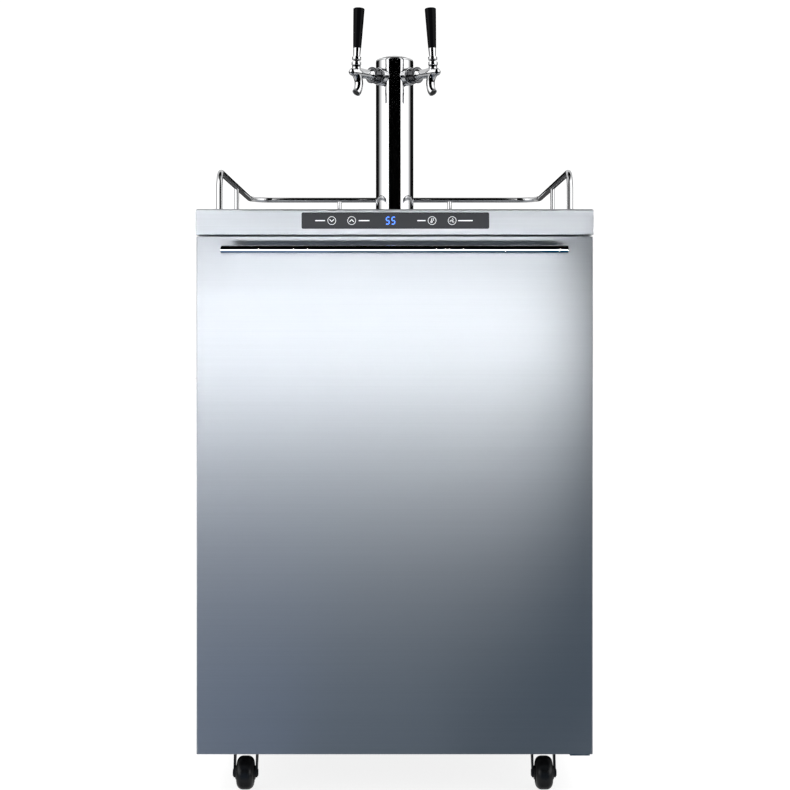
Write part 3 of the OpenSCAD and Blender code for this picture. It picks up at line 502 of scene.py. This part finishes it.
# general light, then the strip whose reflection is the door's bright band, then a faint fill below it
softbox("overhead", (0, -2.3, 2.9), (0, 0, 0.8), (2.4, 1.2), 30, on_metal=False)
door_lamp("door_strip", -0.22, 0.772, 0.36, 0.014, 3.7)
door_lamp("door_panel", -0.3, 0.62, 0.37, 0.16, 0.18)


def flag(name, a, b, c, d, colour):
    """Card through four points that only mirror-like surfaces see."""
    data = bpy.data.meshes.new(name)
    data.from_pydata([a, b, c, d], [], [(0, 1, 2, 3)])
    data.materials.append(shader(name, (0, 0, 0), 0.0, 1.0, Specular_IOR_Level=0.0,
                                 Emission_Color=(*colour, 1), Emission_Strength=1.0))
    card = bpy.data.objects.new(name, data)
    scene.collection.objects.link(card)
    card.visible_camera = card.visible_diffuse = card.visible_shadow = card.visible_transmission = False


def upright_card(name, x0, x1, y, z0, z1, colour=(0, 0, 0)):
    """Card across the view, black unless it has a glow."""
    flag(name, (x0, y, z0), (x1, y, z0), (x1, y, z1), (x0, y, z1), colour)


def level_card(name, x0, x1, y0, y1, z, colour=(0, 0, 0)):
    """Card that lies flat, black unless it has a glow."""
    flag(name, (x0, y0, z), (x1, y0, z), (x1, y1, z), (x0, y1, z), colour)


WORKTOP_Z = 0.9
FAR_Y = -2.3            # two metres in front of the door
NEAR_Y = -0.35          # 63 mm in front of the door
BAR_Y = -0.307          # between the door and the bar
SIDE_X = 1.6

# the black band down the column, and the dark above the bar
upright_card("column_flag", -0.25, 0.25, NEAR_Y, WORKTOP_Z + 6 * MM, 2.3)
level_card("bar_flag", -1.2, 1.2, BAR_Y, FAR_Y, WORKTOP_Z)
# the door's dark lower half: far cards for the wall opposite, then the floor, lighter to the left
upright_card("front_flag", -SIDE_X, SIDE_X, FAR_Y, 0.4, 0.9, (0.02, 0.03, 0.04))
upright_card("low_flag", -0.3, SIDE_X, FAR_Y, -1.5, 0.4, (0.11, 0.15, 0.2))
upright_card("low_left_flag", -SIDE_X, -0.3, FAR_Y, -1.5, 0.4, (0.2, 0.25, 0.32))
level_card("floor_flag_left", -SIDE_X, -0.17, FAR_Y, NEAR_Y, -0.02, (0.1, 0.165, 0.28))
level_card("floor_flag_middle", -0.17, 0.1, FAR_Y, NEAR_Y, -0.02, (0.06, 0.11, 0.17))
level_card("floor_flag_right", 0.1, SIDE_X, FAR_Y, NEAR_Y, -0.02, (0.008, 0.05, 0.1))


# ---------------------------------------------------------------- door

def door():
    """One block for the door's skin and foam, its two upright front edges rounded."""
    lo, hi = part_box("door_skin")
    middle = (lo[1] + hi[1]) / 2
    bm = bmesh.new()

    def tall_front(edge):
        a, b = (v.co for v in edge.verts)
        return abs(a.z - b.z) > 0.5 and a.y < middle

    block(bm, lo, hi, 1.8 * MM, 5, tall_front)
    rims = [e for e in bm.edges if len(e.link_faces) == 2 and e.calc_face_angle() > math.radians(60)]
    bmesh.ops.bevel(bm, geom=rims, offset=0.6 * MM, segments=3, profile=0.5, affect="EDGES")
    put("door_panel", bm, steel_door, "door", ["door_skin", "door_foam"])


door()


def bar_handle():
    """Round bar with softened ends on two short posts."""
    lo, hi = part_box("door_handle")
    r = (hi[2] - lo[2]) / 2
    z = (lo[2] + hi[2]) / 2
    y = lo[1] + r
    length = hi[0] - lo[0]
    edge = 1.6 * MM
    bm = bmesh.new()
    profile = [(0, 0)] + arc(r - edge, edge, edge, -90, 0, 6)
    profile += arc(r - edge, length - edge, edge, 0, 90, 6) + [(0, length)]
    lathe(bm, profile, axis_place((lo[0], y, z), (1, 0, 0)), 64)
    for s in (-1, 1):
        post = [(0, 0), (4.4 * MM, 0), (4.4 * MM, hi[1] - y), (0, hi[1] - y)]
        lathe(bm, post, axis_place((s * (length / 2 - 22 * MM), y, z), (0, 1, 0)), 40)
    put("bar_handle", bm, chrome, "door", ["door_handle"])


bar_handle()


# ---------------------------------------------------------------- guard rail

def guard_rail():
    """One bent tube round three sides, two posts at the sides, two at the back, a collar on each foot."""
    lo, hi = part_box("guard_rail")
    r = 4.75 * MM
    z = hi[2] - r
    x = hi[0] - 7.5 * MM
    front = lo[1] + 7.5 * MM
    back = hi[1] - 7 * MM
    base = lo[2]
    bm = bmesh.new()
    corners = [(-x, front, base), (-x, front, z), (-x, back, z),
               (x, back, z), (x, front, z), (x, front, base)]
    bends = [30 * MM, 40 * MM, 40 * MM, 30 * MM]
    sweep(bm, bend_path(corners, bends, 16), r, 40, up=Vector((1, 0, 0)))
    middle = FRONT_Y + 298.6 * MM
    back_x = 103 * MM
    posts = [(-x, middle), (x, middle), (-back_x, back), (back_x, back)]
    collar = [(0, 0), (7 * MM, 0), (7 * MM, 2 * MM)]
    collar += arc(6 * MM, 2 * MM, 1 * MM, 0, 90, 4)[1:] + [(0, 3 * MM)]
    for px, py in posts:
        sweep(bm, [(px, py, base), (px, py, z)], 4 * MM, 32)
        lathe(bm, collar, Matrix.Translation((px, py, base)), 48)
    wider = 1.07
    front_collar = [(radius * wider, height) for radius, height in collar]
    for s in (-1, 1):
        lathe(bm, front_collar, Matrix.Translation((s * x, front, base)), 48)
    put("rail", bm, chrome, "cabinet", ["guard_rail"])


guard_rail()


# ---------------------------------------------------------------- draft tower

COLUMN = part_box("tower_column")
TOWER_Y = (COLUMN[0][1] + COLUMN[1][1]) / 2
COLUMN_R = (COLUMN[1][0] - COLUMN[0][0]) / 2


def tower():
    """Column tube and its domed cap, which is plugged into the tube."""
    lo, hi = COLUMN
    top = hi[2]
    cap_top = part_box("tower_cap")[1][2]
    place = Matrix.Translation((0, TOWER_Y, 0))
    wall = 2 * MM
    bore = COLUMN_R - wall
    lip = 0.5 * MM
    gap = 0.1 * MM
    bm = bmesh.new()
    tube = [(COLUMN_R, lo[2]), (COLUMN_R, top - lip), (COLUMN_R - lip, top), (bore, top), (bore, lo[2])]
    lathe(bm, tube, place, 160)
    put("column", bm, chrome, "cabinet", ["tower_column"])
    bm = bmesh.new()
    dome = cap_top - top
    edge = 4 * MM
    flat = COLUMN_R - edge
    crown = (flat ** 2 + (dome - edge) ** 2) / (2 * (dome - edge))
    half = math.degrees(math.asin(flat / crown))
    plug = top - 8 * MM
    profile = [(0, plug), (bore, plug), (bore, top), (COLUMN_R - 0.4 * MM, top + gap)]
    profile += arc(flat, top + gap, edge - gap, 5, 90 - half, 10)
    profile += arc(0, cap_top - crown, crown, 90 - half, 90, 16)[1:-1] + [(0, cap_top)]
    lathe(bm, profile, place, 160)
    put("column_cap", bm, chrome, "cabinet", ["tower_cap"])


tower()

TAP_Z = 1143 * MM           # height of a tap's axis
LEVER_U = 89.4 * MM         # lever's distance from the column's axis


def tap_frame(side):
    """Matrix of a tap's own frame: X away from the column, Z up."""
    return Matrix.Translation((0, TOWER_Y, 0)) @ Matrix.Rotation(math.radians(-90 + side * 45), 4, "Z")


def u(millimetres):
    """A length in metres, for profiles drawn in millimetres."""
    return millimetres * MM


def faucet(side, name):
    """Tap body, bonnet and spout; side is -1 for the left tap and 1 for the right one."""
    place = tap_frame(side)
    to_u = place @ axis_place((0, 0, TAP_Z), (1, 0, 0))
    bm = bmesh.new()
    # inlet flange, cone and nose
    profile = [(0, u(50)), (u(12.4), u(50)), (u(12.4), u(53)), (u(10.2), u(53.2)), (u(10.1), u(57)),
               (u(9.4), u(58.4)), (u(8.3), u(61)), (u(7.7), u(65)), (u(7.9), u(71)), (u(8.4), u(78)),
               (u(8.6), u(86)), (u(8.2), u(91)), (u(7.2), u(95))]
    nose = [(r, h) for h, r in arc(u(98.0), 0, u(6.4), 105, 0, 12)]
    profile += [(r, h) for r, h in nose if h > u(96.4)]
    profile[-1] = (0, profile[-1][1])
    lathe(bm, profile, to_u, 64)
    # bonnet and its two rings
    bonnet = [(0, u(-2)), (u(7.7), u(-2)), (u(7.7), u(5.2)), (u(7.1), u(6)), (u(7.0), u(11.4)),
              (u(7.3), u(12)), (u(8.0), u(12.6)), (u(8.0), u(16.9)), (u(7.5), u(17.7)), (u(5.6), u(17.7)),
              (u(5.6), u(14)), (0, u(14))]
    lathe(bm, bonnet, place @ Matrix.Translation((LEVER_U, 0, TAP_Z)), 64)
    # spout: down, towards the column and forward again
    bend = u(24)
    centre = Vector((LEVER_U - u(5.8) + bend, 0, TAP_Z - u(17.5)))
    path, radii = [], []
    for i in range(29):
        a = math.radians(128 + 94 * i / 28)
        path.append(centre + Vector((bend * math.cos(a), 0, bend * math.sin(a))))
        radii.append(u(7.8) - u(0.7) * min(1, i / 12))
    path = [p for p in path if p.z < TAP_Z]
    sweep(bm, [place @ p for p in path], radii[:len(path)], 48)
    put(name + "_faucet", bm, chrome, "cabinet", [name + "_faucet_body"])
    # dark disc at the spout's end: painted shade, standing for the dark inside of the open bore
    painted_bore_shade = bmesh.new()
    end, before = place @ path[-1], place @ path[-2]
    lathe(painted_bore_shade, [(0, 0), (u(5.4), 0), (u(5.4), u(0.12)), (0, u(0.12))], axis_place(end, end - before), 48)
    put(name + "_spout_painted_bore_shade", painted_bore_shade, rubber, "cabinet")


faucet(-1, "left")
faucet(1, "right")


PIVOT_Z = 1157 * MM         # height of a lever's pivot
LEAN = math.radians(-3.7)   # the levers' lean at rest


def lever(side, name):
    """Ball and pin, stem, lock nut, ferrule and black grip, in the pivot's own frame."""
    place = tap_frame(side) @ Matrix.Translation((LEVER_U, 0, PIVOT_Z)) @ Matrix.Rotation(LEAN, 4, "Y")
    bm = bmesh.new()
    lathe(bm, arc(0, 0, u(5), -90, 90, 12), place, 48)
    lathe(bm, [(0, u(-14.5)), (u(2), u(-14.5)), (u(2), u(-3)), (0, u(-3))], place, 24)
    lathe(bm, [(0, u(3)), (u(2.5), u(3)), (u(2.5), u(8)), (0, u(8))], place, 32)
    nut = [(0, u(6.8))] + arc(u(6.8), u(7.6), u(0.8), -90, 0, 4)
    nut += arc(u(6.8), u(11.2), u(0.8), 0, 90, 4)
    lathe(bm, nut + [(0, u(12))], place, 64)
    # rubber boot, slim enough to clear the bonnet when the lever is pulled
    boot = [(0, u(4.6)), (u(2.7), u(4.6)), (u(3.2), u(5.4)), (u(3.7), u(6.3)), (u(3.7), u(7)), (0, u(7))]
    cone = bmesh.new()
    lathe(cone, boot, place, 48)
    put(name + "_stem_boot", cone, rubber, name + "_tap_lever")
    ferrule = [(0, u(12)), (u(5.5), u(12)), (u(5.6), u(12.6)), (u(6.4), u(25.6)), (u(6.2), u(26.3)),
               (0, u(26.3))]
    lathe(bm, ferrule, place, 64)
    put(name + "_tap_stem", bm, chrome, name + "_tap_lever", [name + "_lever"])
    bm = bmesh.new()
    z0, z1 = u(26.3), u(93)
    edge = u(1.6)
    grip = [(0, z0), (u(6.3), z0), (u(6.7), z0 + u(0.5)), (u(6.9), z0 + u(4)), (u(7.4), z0 + u(14)),
            (u(8.3), z0 + u(36))]
    grip += arc(u(9.4) - edge, z1 - edge, edge, 0, 86, 8) + [(u(3), z1 - u(0.02)), (0, z1)]
    lathe(bm, grip, place, 96)
    put(name + "_grip", bm, black_gloss, name + "_tap_lever", [name + "_tap_handle"])


lever(-1, "left")
lever(1, "right")


def nuts_and_collars():
    """On each shank a collar against the column and the coupling nut in front of it."""
    collars = bmesh.new()
    rings = bmesh.new()
    for side in (-1, 1):
        to_u = tap_frame(side) @ axis_place((0, 0, TAP_Z), (1, 0, 0))
        collar = [(u(11), u(27)), (u(15), u(27)), (u(15), u(37))]
        collar += arc(u(12.5), u(37), u(2.5), 0, 90, 8)[1:] + [(u(11), u(39.9))]
        lathe(collars, collar, to_u, 96)
        body = [(u(10.6), u(40)), (u(12.8), u(40)), (u(13.6), u(40.8)), (u(13.6), u(43.4)),
                (u(12.6), u(44)), (u(12.6), u(52.4)), (u(13.6), u(53)), (u(13.6), u(55.2)),
                (u(12.8), u(56)), (u(10.4), u(56))]
        lathe(rings, body, to_u, 96)
    put("collars", collars, chrome, "cabinet", ["shank_collars"])
    # the nuts take the darkened chrome: painted dark reflection
    put("coupling_rings", rings, chrome_painted_dark, "cabinet", ["coupling_nuts"])


nuts_and_collars()


def flange():
    """Round foot of the column with four domed screws."""
    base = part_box("tower_flange")[0][2]
    bm = bmesh.new()
    profile = [(u(26), base), (u(50), base), (u(50), base + u(1.6))]
    profile += arc(u(48.6), base + u(1.6), u(1.4), 0, 90, 6)[1:]
    profile += [(u(34), base + u(3)), (u(33), base + u(3.6)), (u(32.2), base + u(5)), (u(26), base + u(5))]
    lathe(bm, profile, Matrix.Translation((0, TOWER_Y, 0)), 160)
    screw_r = u(41)
    for i in range(4):
        a = math.radians(45 + 90 * i)
        spot = Matrix.Translation((screw_r * math.cos(a), TOWER_Y + screw_r * math.sin(a), base + u(3)))
        head = [(0, 0), (u(4.2), 0)] + arc(0, -u(2.2), u(4.75), 28, 72, 8)
        head += [(u(1.4), u(2.3)), (u(1.2), u(1.2)), (0, u(1.2))]
        lathe(bm, head, spot, 40)
    put("flange", bm, chrome, "cabinet", ["tower_flange"])


flange()


# ---------------------------------------------------------------- control panel

def flat_shape(bm, outline, y, depth):
    """Thin solid from an outline of (x, z) points, standing out towards the front from y."""
    front = [bm.verts.new((x, y - depth, z)) for x, z in outline]
    back = [bm.verts.new((x, y, z)) for x, z in outline]
    bm.faces.new(front)
    bm.faces.new(list(reversed(back)))
    n = len(outline)
    for i in range(n):
        bm.faces.new((front[i], back[i], back[(i + 1) % n], front[(i + 1) % n]))


def annulus(bm, x, z, r, width, y, depth, steps=64):
    """Flat ring round (x, z), standing out towards the front from y."""
    place = axis_place((x, y, z), (0, -1, 0))
    lathe(bm, [(r - width, 0), (r, 0), (r, depth), (r - width, depth)], place, steps)


def stroke(bm, points, width, y, depth):
    """Flat line through (x, z) points with round joins."""
    for (x0, z0), (x1, z1) in zip(points, points[1:]):
        d = Vector((x1 - x0, z1 - z0)).normalized() * width / 2
        n = Vector((-d.y, d.x))
        outline = [(x0 + n.x, z0 + n.y), (x1 + n.x, z1 + n.y), (x1 - n.x, z1 - n.y), (x0 - n.x, z0 - n.y)]
        flat_shape(bm, outline, y, depth)
    for x, z in points:
        flat_shape(bm, [(x + width / 2 * math.cos(a), z + width / 2 * math.sin(a))
                        for a in (math.tau * i / 16 for i in range(16))], y, depth)


def key_marks():
    """On each key a ring and a plain symbol: chevrons, a thermometer and a fan."""
    ink = 0.12 * MM
    line = 0.65 * MM
    for key in ("down_key", "up_key", "temperature_key", "fan_key"):
        lo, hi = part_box(key)
        x, z, y = (lo[0] + hi[0]) / 2, (lo[2] + hi[2]) / 2, lo[1] + 0.02 * MM
        r = (hi[0] - lo[0]) / 2 - 0.1 * MM
        bm = bmesh.new()
        annulus(bm, x, z, r, line, y, ink)
        s = 3.0 * MM
        if key == "down_key":
            stroke(bm, [(x - s, z + s * 0.5), (x, z - s * 0.5), (x + s, z + s * 0.5)], 1.1 * MM, y, ink)
        elif key == "up_key":
            stroke(bm, [(x - s, z - s * 0.5), (x, z + s * 0.5), (x + s, z - s * 0.5)], 1.1 * MM, y, ink)
        elif key == "temperature_key":
            annulus(bm, x - 0.8 * MM, z - 1.9 * MM, 1.6 * MM, 0.8 * MM, y, ink, 32)
            stroke(bm, [(x - 0.8 * MM, z - 0.4 * MM), (x - 0.8 * MM, z + 3.2 * MM)], line, y, ink)
            for k in range(3):
                level = z + (0.2 + 1.4 * k) * MM
                stroke(bm, [(x + 1.0 * MM, level), (x + 2.6 * MM, level)], 0.6 * MM, y, ink)
        else:
            for k in range(3):
                blade = []
                for t in (0, 0.33, 0.66, 1):
                    reach, turn = (0.6 + 2.9 * t) * MM, math.tau * k / 3 + 1.5 * t
                    blade.append((x + reach * math.cos(turn), z + reach * math.sin(turn)))
                stroke(bm, blade, 0.9 * MM, y, ink)
        put(key + "_mark", bm, print_white, key)


key_marks()


def segment(bm, a, b, place, width, lean):
    """One bar of a seven-segment digit, pointed at both ends and slanted."""
    along = (b - a).normalized()
    gap = along * 0.25 * MM
    a, b = a + gap, b - gap
    n = Vector((-along.y, along.x)) * width / 2
    e = along * width / 2
    outline = [a, a + e + n, b - e + n, b, b - e - n, a + e - n]
    x, y, z = place
    flat_shape(bm, [(x + p.x + p.y * lean, z + p.y) for p in outline], y, 0.05 * MM)


def digits():
    """Two seven-segment fives on a dark window."""
    lo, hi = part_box("control_overlay")
    face = lo[1] - 0.02 * MM
    x0, z0 = -6.2 * MM, (lo[2] + hi[2]) / 2
    half_pitch = 4.2 * MM
    width = 1.5 * MM
    w, h = 3.1 * MM - width / 2, 6.0 * MM - width / 2
    lean = math.tan(math.radians(6))
    lit_bars = [((-w, h), (w, h)), ((-w, 0), (-w, h)), ((-w, 0), (w, 0)), ((w, 0), (w, -h)),
                ((-w, -h), (w, -h))]
    dark_bars = [((w, 0), (w, h)), ((-w, 0), (-w, -h))]
    for name, bars, look in (("digits_lit", lit_bars, led_blue), ("digits_dark", dark_bars, led_off)):
        bm = bmesh.new()
        for x in (x0 - half_pitch, x0 + half_pitch):
            for a, b in bars:
                segment(bm, Vector(a), Vector(b), (x, face, z0), width, lean)
        put(name, bm, look, "cabinet")
    bm = bmesh.new()
    block(bm, (x0 - 10 * MM, face, z0 - 8 * MM), (x0 + 10 * MM, lo[1] + 0.1 * MM, z0 + 8 * MM))
    put("display_window", bm, overlay_film, "cabinet")


digits()


def panel_dashes():
    """Plain dashes where a real panel is lettered."""
    lo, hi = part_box("control_overlay")
    y, z = lo[1] + 0.02 * MM, (lo[2] + hi[2]) / 2
    lettered = [(-120, -104.6), (-54.6, -37.7), (33.9, 47), (95.4, 118)]    # from x to x, in millimetres
    bm = bmesh.new()
    for a, b in lettered:
        stroke(bm, [(u(a + 1), z), (u(b - 1), z)], 1.5 * MM, y, 0.1 * MM)
    put("panel_dashes", bm, print_white, "cabinet")


panel_dashes()


# ---------------------------------------------------------------- gas regulator

def gauge_faces():
    """White dials with ticks and a needle under glass in the regulator's two gauges."""
    face = u(195)
    regulator_x, outlet_z, reach = u(-100), u(710), u(50)
    tick_count, first_tick, tick_step = 11, 225, 27
    rims, dials, ticks, needles, covers = (bmesh.new() for _ in range(5))
    for x, z, turn in ((regulator_x, outlet_z + reach, 40), (regulator_x + reach, outlet_z, -35)):
        place = axis_place((x, face, z), (0, -1, 0))
        rim = [(u(17.4), 0), (u(20), 0), (u(20), u(1.6))]
        rim += arc(u(18.8), u(1.6), u(1.2), 0, 180, 8)[1:]
        lathe(rims, rim, place, 72)
        lathe(dials, [(0, 0), (u(17.5), 0), (u(17.5), u(0.3)), (0, u(0.3))], place, 72)
        for k in range(tick_count):
            a = math.radians(first_tick - tick_step * k)
            c = Vector((math.cos(a), math.sin(a)))
            inner, outer = u(12.6 if k % 5 == 0 else 14.0), u(16)
            tick = [(x + c.x * inner, z + c.y * inner), (x + c.x * outer, z + c.y * outer)]
            stroke(ticks, tick, u(0.8), face - u(0.3), u(0.1))
        a = math.radians(90 + turn)
        needle = [(x + r * math.cos(a), z + r * math.sin(a)) for r in (u(-4), u(11))]
        stroke(needles, needle, u(1.1), face - u(0.6), u(0.3))
        lathe(needles, [(0, u(0.3)), (u(1.8), u(0.3)), (u(1.8), u(1.2)), (0, u(1.2))], place, 24)
        lathe(covers, [(0, u(1.6)), (u(17.5), u(1.6)), (u(17.5), u(2.1)), (0, u(2.1))], place, 72)
    put("gauge_rims", rims, chrome, "cabinet")
    put("gauge_dials", dials, dial_white, "cabinet")
    put("gauge_ticks", ticks, print_black, "cabinet")
    put("gauge_needles", needles, red_plastic, "cabinet")
    put("gauge_covers", covers, glass, "cabinet")


gauge_faces()


# ---------------------------------------------------------------- back of the cabinet

def condenser_wires():
    """Upright wires in front of and behind the coil's tube."""
    bm = bmesh.new()
    r = 0.75 * MM
    tube_r = 2.5 * MM
    y_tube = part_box("condenser_coil")[1][1] - 2.7 * MM
    z0, z1 = 352 * MM, 808 * MM
    width, count = 430 * MM, 44
    for i in range(count):
        x = width * (i / (count - 1) - 0.5)
        for y in (y_tube - tube_r - r * 0.6, y_tube + tube_r - r * 0.4):
            sweep(bm, [(x, y, z0), (x, y, z1)], r, 8)
    put("condenser_wires", bm, powder_black, "cabinet")


condenser_wires()


# ---------------------------------------------------------------- finish

EDGE = 0.6 * MM
for each in ("compressor", "base_tray"):
    dress(each, bevel=EDGE)
for corner in ("front_left", "front_right", "rear_left", "rear_right"):
    dress(corner + "_yoke", yoke_black, EDGE)
    dress(corner + "_wheel", tyre)
